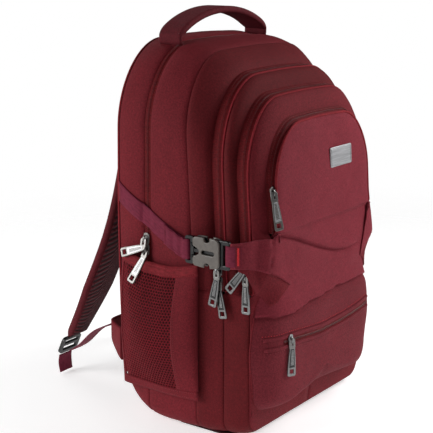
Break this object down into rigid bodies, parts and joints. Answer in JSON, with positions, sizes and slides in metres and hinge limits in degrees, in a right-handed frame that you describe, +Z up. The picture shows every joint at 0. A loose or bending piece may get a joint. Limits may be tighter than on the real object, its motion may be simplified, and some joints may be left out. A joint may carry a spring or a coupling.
{
  "type": "travel backpack",
  "caption": "Soft travel backpack with stacked arched compartments, padded straps, buckled side straps, mesh bottle pockets and a padded top handle.",
  "frame": {"origin": "centre of the flat base, at the height the bag stands on", "axes": "+Z up, -Y towards the front of the bag, -X its side with the parked zip sliders"},
  "size_m": [0.3526, 0.3871, 0.519],
  "materials": {
    "shell": "fine twill",
    "front": "fine twill",
    "zip": "coil zip on dark tape",
    "webbing": "ribbed webbing",
    "mesh": "open mesh",
    "binding": "bias binding",
    "pad": "ribbed air mesh over foam",
    "lining": "plain lining",
    "board": "flat",
    "buckle": "moulded",
    "metal": "polished",
    "plate": "brushed"
  },
  "bodies": {
    "bag": {"back_panel": "shell", "back_pads": "pad", "rear_shell": "shell", "rear_zip": "zip", "main_shell": "shell", "laptop_partition": "lining", "laptop_sleeve": "lining", "base_panel": "shell", "base_board": "board", "main_zip": "zip", "organiser_shell_lower": "shell", "organiser_pocket": "lining", "front_shell_lower": "shell", "lower_pocket_panel": "front", "lower_zip": "zip", "front_fold_panel": "front", "front_shell_mid": "front", "mesh_pocket_left": "mesh", "mesh_pocket_right": "mesh", "pocket_bindings": "binding", "compression_straps": "webbing", "strap_tongues": "shell", "buckle_housings": "buckle", "strap_wings": "shell", "lower_webbing": "webbing"},
    "front_section": {"organiser_shell_upper": "shell", "front_shell_upper": "shell", "front_zip": "zip"},
    "front_pocket_flap": {"front_flap": "front", "name_plate": "plate"},
    "handle": {"top_handle": "pad"},
    "strap_left": {"shoulder_strap_left": "pad"},
    "adjuster_left": {"ladder_lock_left": "buckle", "webbing_tail_left": "webbing"},
    "insert_left": {"buckle_insert_left": "buckle"},
    "upper_prong_left": {"prong_upper_left": "buckle"},
    "lower_prong_left": {"prong_lower_left": "buckle"},
    "strap_right": {"shoulder_strap_right": "pad"},
    "adjuster_right": {"ladder_lock_right": "buckle", "webbing_tail_right": "webbing"},
    "insert_right": {"buckle_insert_right": "buckle"},
    "upper_prong_right": {"prong_upper_right": "buckle"},
    "lower_prong_right": {"prong_lower_right": "buckle"},
    "rear_upper_slider": {"slider_rear_upper": "metal"},
    "rear_upper_pull": {"pull_rear_upper": "metal"},
    "rear_lower_slider": {"slider_rear_lower": "metal"},
    "rear_lower_pull": {"pull_rear_lower": "metal"},
    "main_upper_slider": {"slider_main_upper": "metal"},
    "main_upper_pull": {"pull_main_upper": "metal"},
    "main_lower_slider": {"slider_main_lower": "metal"},
    "main_lower_pull": {"pull_main_lower": "metal"},
    "organiser_upper_slider": {"slider_organiser_upper": "metal"},
    "organiser_upper_pull": {"pull_organiser_upper": "metal"},
    "organiser_lower_slider": {"slider_organiser_lower": "metal"},
    "organiser_lower_pull": {"pull_organiser_lower": "metal"},
    "front_slider": {"slider_front": "metal"},
    "front_pull": {"pull_front": "metal"},
    "lower_slider": {"slider_lower": "metal"},
    "lower_pull": {"pull_lower": "metal"}
  },
  "joints": [
    {"name": "front_section_fold", "type": "hinge", "parent": "bag", "child": "front_section", "pos_m": [0, -0.1084, 0.2621], "axis": [1, 0, 0], "range_deg": [0, 25]},
    {"name": "pocket_flap_fold", "type": "hinge", "parent": "front_section", "child": "front_pocket_flap", "pos_m": [0, -0.1084, 0.2622], "axis": [1, 0, 0], "range_deg": [0, 60]},
    {"name": "handle_bend", "type": "hinge", "parent": "bag", "child": "handle", "pos_m": [0, 0.066, 0.486], "axis": [1, 0, 0], "range_deg": [-40, 40], "stiffness_Nm_per_rad": 0.15},
    {"name": "strap_left_swing", "type": "hinge", "parent": "bag", "child": "strap_left", "pos_m": [-0.086, 0.118, 0.438], "axis": [1, 0, 0], "range_deg": [0, 10]},
    {"name": "adjuster_left_tilt", "type": "hinge", "parent": "strap_left", "child": "adjuster_left", "pos_m": [-0.086, 0.25, 0.061], "axis": [1, 0, 0], "range_deg": [0, 35]},
    {"name": "buckle_left_release", "type": "slide", "parent": "bag", "child": "insert_left", "axis": [0, 1, 0], "range_m": [0, 0.03]},
    {"name": "upper_prong_left_squeeze", "type": "hinge", "parent": "insert_left", "child": "upper_prong_left", "pos_m": [-0.1575, -0.017, 0.2475], "axis": [1, 0, 0], "range_deg": [0, 6], "stiffness_Nm_per_rad": 0.05},
    {"name": "lower_prong_left_squeeze", "type": "hinge", "parent": "insert_left", "child": "lower_prong_left", "pos_m": [-0.1575, -0.017, 0.2325], "axis": [1, 0, 0], "range_deg": [-6, 0], "stiffness_Nm_per_rad": 0.05},
    {"name": "strap_right_swing", "type": "hinge", "parent": "bag", "child": "strap_right", "pos_m": [0.086, 0.118, 0.438], "axis": [1, 0, 0], "range_deg": [0, 10]},
    {"name": "adjuster_right_tilt", "type": "hinge", "parent": "strap_right", "child": "adjuster_right", "pos_m": [0.086, 0.25, 0.061], "axis": [1, 0, 0], "range_deg": [0, 35]},
    {"name": "buckle_right_release", "type": "slide", "parent": "bag", "child": "insert_right", "axis": [0, 1, 0], "range_m": [0, 0.03]},
    {"name": "upper_prong_right_squeeze", "type": "hinge", "parent": "insert_right", "child": "upper_prong_right", "pos_m": [0.1575, -0.017, 0.2475], "axis": [1, 0, 0], "range_deg": [0, 6], "stiffness_Nm_per_rad": 0.05},
    {"name": "lower_prong_right_squeeze", "type": "hinge", "parent": "insert_right", "child": "lower_prong_right", "pos_m": [0.1575, -0.017, 0.2325], "axis": [1, 0, 0], "range_deg": [-6, 0], "stiffness_Nm_per_rad": 0.05},
    {"name": "rear_upper_slide", "type": "slide", "parent": "bag", "child": "rear_upper_slider", "axis": [0, -0.014, 0.9999], "range_m": [0, 0.01]},
    {"name": "rear_upper_lift", "type": "hinge", "parent": "rear_upper_slider", "child": "rear_upper_pull", "pos_m": [-0.1566, 0.06073, 0.241], "axis": [0, 0.9999, 0.014], "range_deg": [0, 150]},
    {"name": "rear_lower_slide", "type": "slide", "parent": "bag", "child": "rear_lower_slider", "axis": [0, -0.014, 0.9999], "range_m": [-0.003, 0]},
    {"name": "rear_lower_swing", "type": "hinge", "parent": "rear_lower_slider", "child": "rear_lower_pull", "pos_m": [-0.1532, 0.06092, 0.227], "axis": [-1, 0, 0], "range_deg": [-12, 12]},
    {"name": "main_upper_slide", "type": "slide", "parent": "bag", "child": "main_upper_slider", "axis": [0, 0.0479, 0.9988], "range_m": [0, 0.095]},
    {"name": "main_upper_lift", "type": "hinge", "parent": "main_upper_slider", "child": "main_upper_pull", "pos_m": [-0.1496, -0.04483, 0.216], "axis": [0, 0.9988, -0.0479], "range_deg": [0, 80]},
    {"name": "main_lower_slide", "type": "slide", "parent": "bag", "child": "main_lower_slider", "axis": [0, 0.0479, 0.9988], "range_m": [-0.005, 0]},
    {"name": "main_lower_swing", "type": "hinge", "parent": "main_lower_slider", "child": "main_lower_pull", "pos_m": [-0.1462, -0.0455, 0.202], "axis": [-1, 0, 0], "range_deg": [-12, 12]},
    {"name": "organiser_upper_slide", "type": "slide", "parent": "bag", "child": "organiser_upper_slider", "axis": [0, 0.0669, 0.9978], "range_m": [0, 0.018]},
    {"name": "organiser_upper_swing", "type": "hinge", "parent": "organiser_upper_slider", "child": "organiser_upper_pull", "pos_m": [-0.1436, -0.07864, 0.23], "axis": [-1, 0, 0], "range_deg": [-6, 2]},
    {"name": "organiser_lower_slide", "type": "slide", "parent": "bag", "child": "organiser_lower_slider", "axis": [0, 0.0669, 0.9978], "range_m": [-0.014, 0]},
    {"name": "organiser_lower_swing", "type": "hinge", "parent": "organiser_lower_slider", "child": "organiser_lower_pull", "pos_m": [-0.1402, -0.07985, 0.212], "axis": [-1, 0, 0], "range_deg": [-12, 12]},
    {"name": "front_slide", "type": "slide", "parent": "front_section", "child": "front_slider", "axis": [0, 0.0659, 0.9978], "range_m": [-0.007, 0.02]},
    {"name": "front_lift", "type": "hinge", "parent": "front_slider", "child": "front_pull", "pos_m": [-0.1132, -0.1013, 0.31218], "axis": [-1, 0, 0], "range_deg": [0, 150]},
    {"name": "lower_slide", "type": "slide", "parent": "bag", "child": "lower_slider", "axis": [1, 0, 0], "range_m": [0, 0.165]},
    {"name": "lower_lift", "type": "hinge", "parent": "lower_slider", "child": "lower_pull", "pos_m": [-0.09, -0.113, 0.127], "axis": [-1, 0, 0], "range_deg": [0, 150]}
  ],
  "couplings": [
    {"joint": "lower_prong_left_squeeze", "follows": "upper_prong_left_squeeze", "ratio": -1},
    {"joint": "lower_prong_right_squeeze", "follows": "upper_prong_right_squeeze", "ratio": -1}
  ]
}
